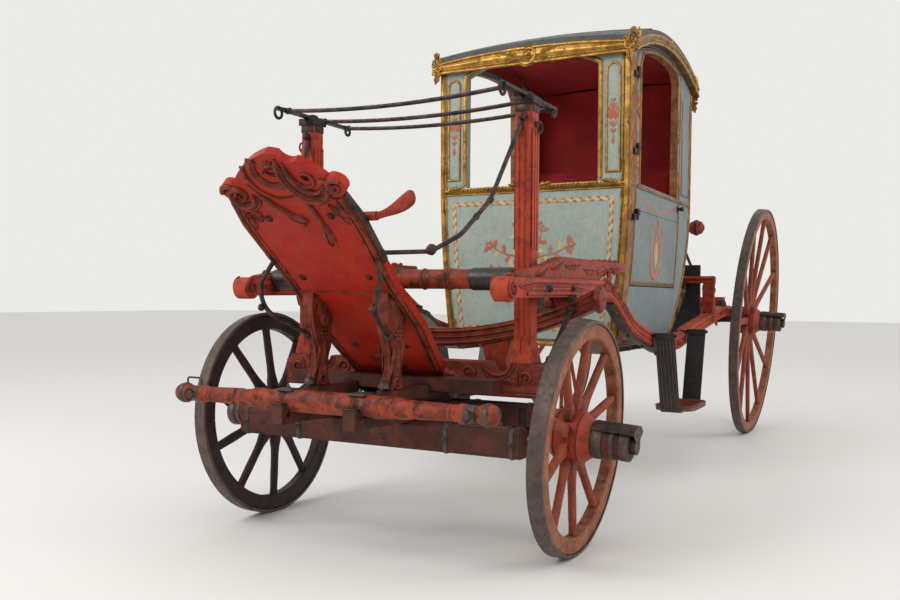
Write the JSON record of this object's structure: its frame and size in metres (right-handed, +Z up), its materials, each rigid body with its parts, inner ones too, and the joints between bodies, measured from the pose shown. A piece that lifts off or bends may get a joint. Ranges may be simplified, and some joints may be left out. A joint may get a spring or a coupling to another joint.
{
  "type": "rococo coupe carriage",
  "caption": "Four-wheeled horse-drawn coupe with a leather-hung closed body between crane-neck perches, a steering fore-carriage, coachman's posts and footboard, side doors and steps.",
  "frame": {"origin": "middle of the base of the whole carriage, on the ground", "axes": "+Y towards the rear, +X to the carriage's side that the picture shows, +Z up; the pole would point to -Y"},
  "size_m": [2.0256, 5.624, 2.5655],
  "materials": {
    "red_wood": "painted vermilion, worn",
    "brown_red_wood": "painted brown red, worn",
    "wheel_wood": "painted red, worn",
    "iron": "forged, dark",
    "tyre_iron": "worn iron",
    "brace_leather": "layered harness leather",
    "black_leather": "black, cracked",
    "pale_panel": "pale blue-green paint with gilding",
    "gilt": "gilded carving",
    "crimson_cloth": "dark crimson velvet",
    "bare_wood": "oiled"
  },
  "bodies": {
    "carriage_frame": {"rear_axletree": "iron", "hub_guards_rear": "iron", "turntable_upper_plate": "iron", "front_bolster": "red_wood", "frame_arms": "brown_red_wood", "frame_planks": "brown_red_wood", "perch_right": "red_wood", "perch_left": "red_wood", "perch_horns": "red_wood", "front_transom": "red_wood", "transom_pedestals": "red_wood", "posts": "red_wood", "seat_irons": "iron", "head_bar": "red_wood", "footboard": "red_wood", "handle_bar": "red_wood", "consoles": "red_wood", "footboard_struts": "iron", "front_stays": "iron", "rear_axle_bed": "red_wood", "rear_transom": "red_wood", "rear_uprights": "red_wood", "rear_rail": "red_wood", "rear_panel": "black_leather", "rear_ball_bar": "red_wood", "rear_stays": "iron", "braces": "brace_leather", "brace_irons": "iron", "body_side_right": "pale_panel", "body_side_left": "pale_panel", "body_front": "pale_panel", "body_back": "pale_panel", "body_floor": "bare_wood", "roof": "black_leather", "cornice": "gilt", "seat_bench": "bare_wood", "seat_cushion": "crimson_cloth", "back_cushion": "crimson_cloth", "pillar_hinges": "iron", "step_straps": "black_leather", "step_treads": "bare_wood"},
    "fore_carriage": {"front_axletree": "iron", "hub_guards_front": "iron", "front_axle_bed": "brown_red_wood", "futchells": "brown_red_wood", "crossbar": "brown_red_wood", "splinter_bar": "red_wood", "turntable_lower_plate": "iron"},
    "wheel_front_right": {"wheel_front_right": "wheel_wood", "wheel_irons_front_right": "tyre_iron"},
    "wheel_front_left": {"wheel_front_left": "wheel_wood", "wheel_irons_front_left": "tyre_iron"},
    "wheel_rear_right": {"wheel_rear_right": "wheel_wood", "wheel_irons_rear_right": "tyre_iron"},
    "wheel_rear_left": {"wheel_rear_left": "wheel_wood", "wheel_irons_rear_left": "tyre_iron"},
    "door_right": {"door_right": "pale_panel", "door_hinges_right": "iron"},
    "door_left": {"door_left": "pale_panel", "door_hinges_left": "iron"}
  },
  "joints": [
    {"name": "steering", "type": "hinge", "parent": "carriage_frame", "child": "fore_carriage", "pos_m": [0, -1.79005, 0.57281], "axis": [0, 0, 1], "range_deg": [-45, 45]},
    {"name": "wheel_front_right_spin", "type": "hinge", "parent": "fore_carriage", "child": "wheel_front_right", "pos_m": [0.735, -1.79005, 0.46097], "axis": [0.9976, 0, -0.0698], "continuous": true},
    {"name": "wheel_front_left_spin", "type": "hinge", "parent": "fore_carriage", "child": "wheel_front_left", "pos_m": [-0.735, -1.79005, 0.46097], "axis": [0.9976, 0, 0.0698], "continuous": true},
    {"name": "wheel_rear_right_spin", "type": "hinge", "parent": "carriage_frame", "child": "wheel_rear_right", "pos_m": [0.75, 1.96995, 0.84179], "axis": [0.9976, 0, -0.0698], "continuous": true},
    {"name": "wheel_rear_left_spin", "type": "hinge", "parent": "carriage_frame", "child": "wheel_rear_left", "pos_m": [-0.75, 1.96995, 0.84179], "axis": [0.9976, 0, 0.0698], "continuous": true},
    {"name": "door_right_hinge", "type": "hinge", "parent": "carriage_frame", "child": "door_right", "pos_m": [0.57532, -0.39305, 1.8], "axis": [0, 0, -1], "range_deg": [0, 80]},
    {"name": "door_left_hinge", "type": "hinge", "parent": "carriage_frame", "child": "door_left", "pos_m": [-0.57532, -0.39305, 1.8], "axis": [0, 0, 1], "range_deg": [0, 80]}
  ]
}
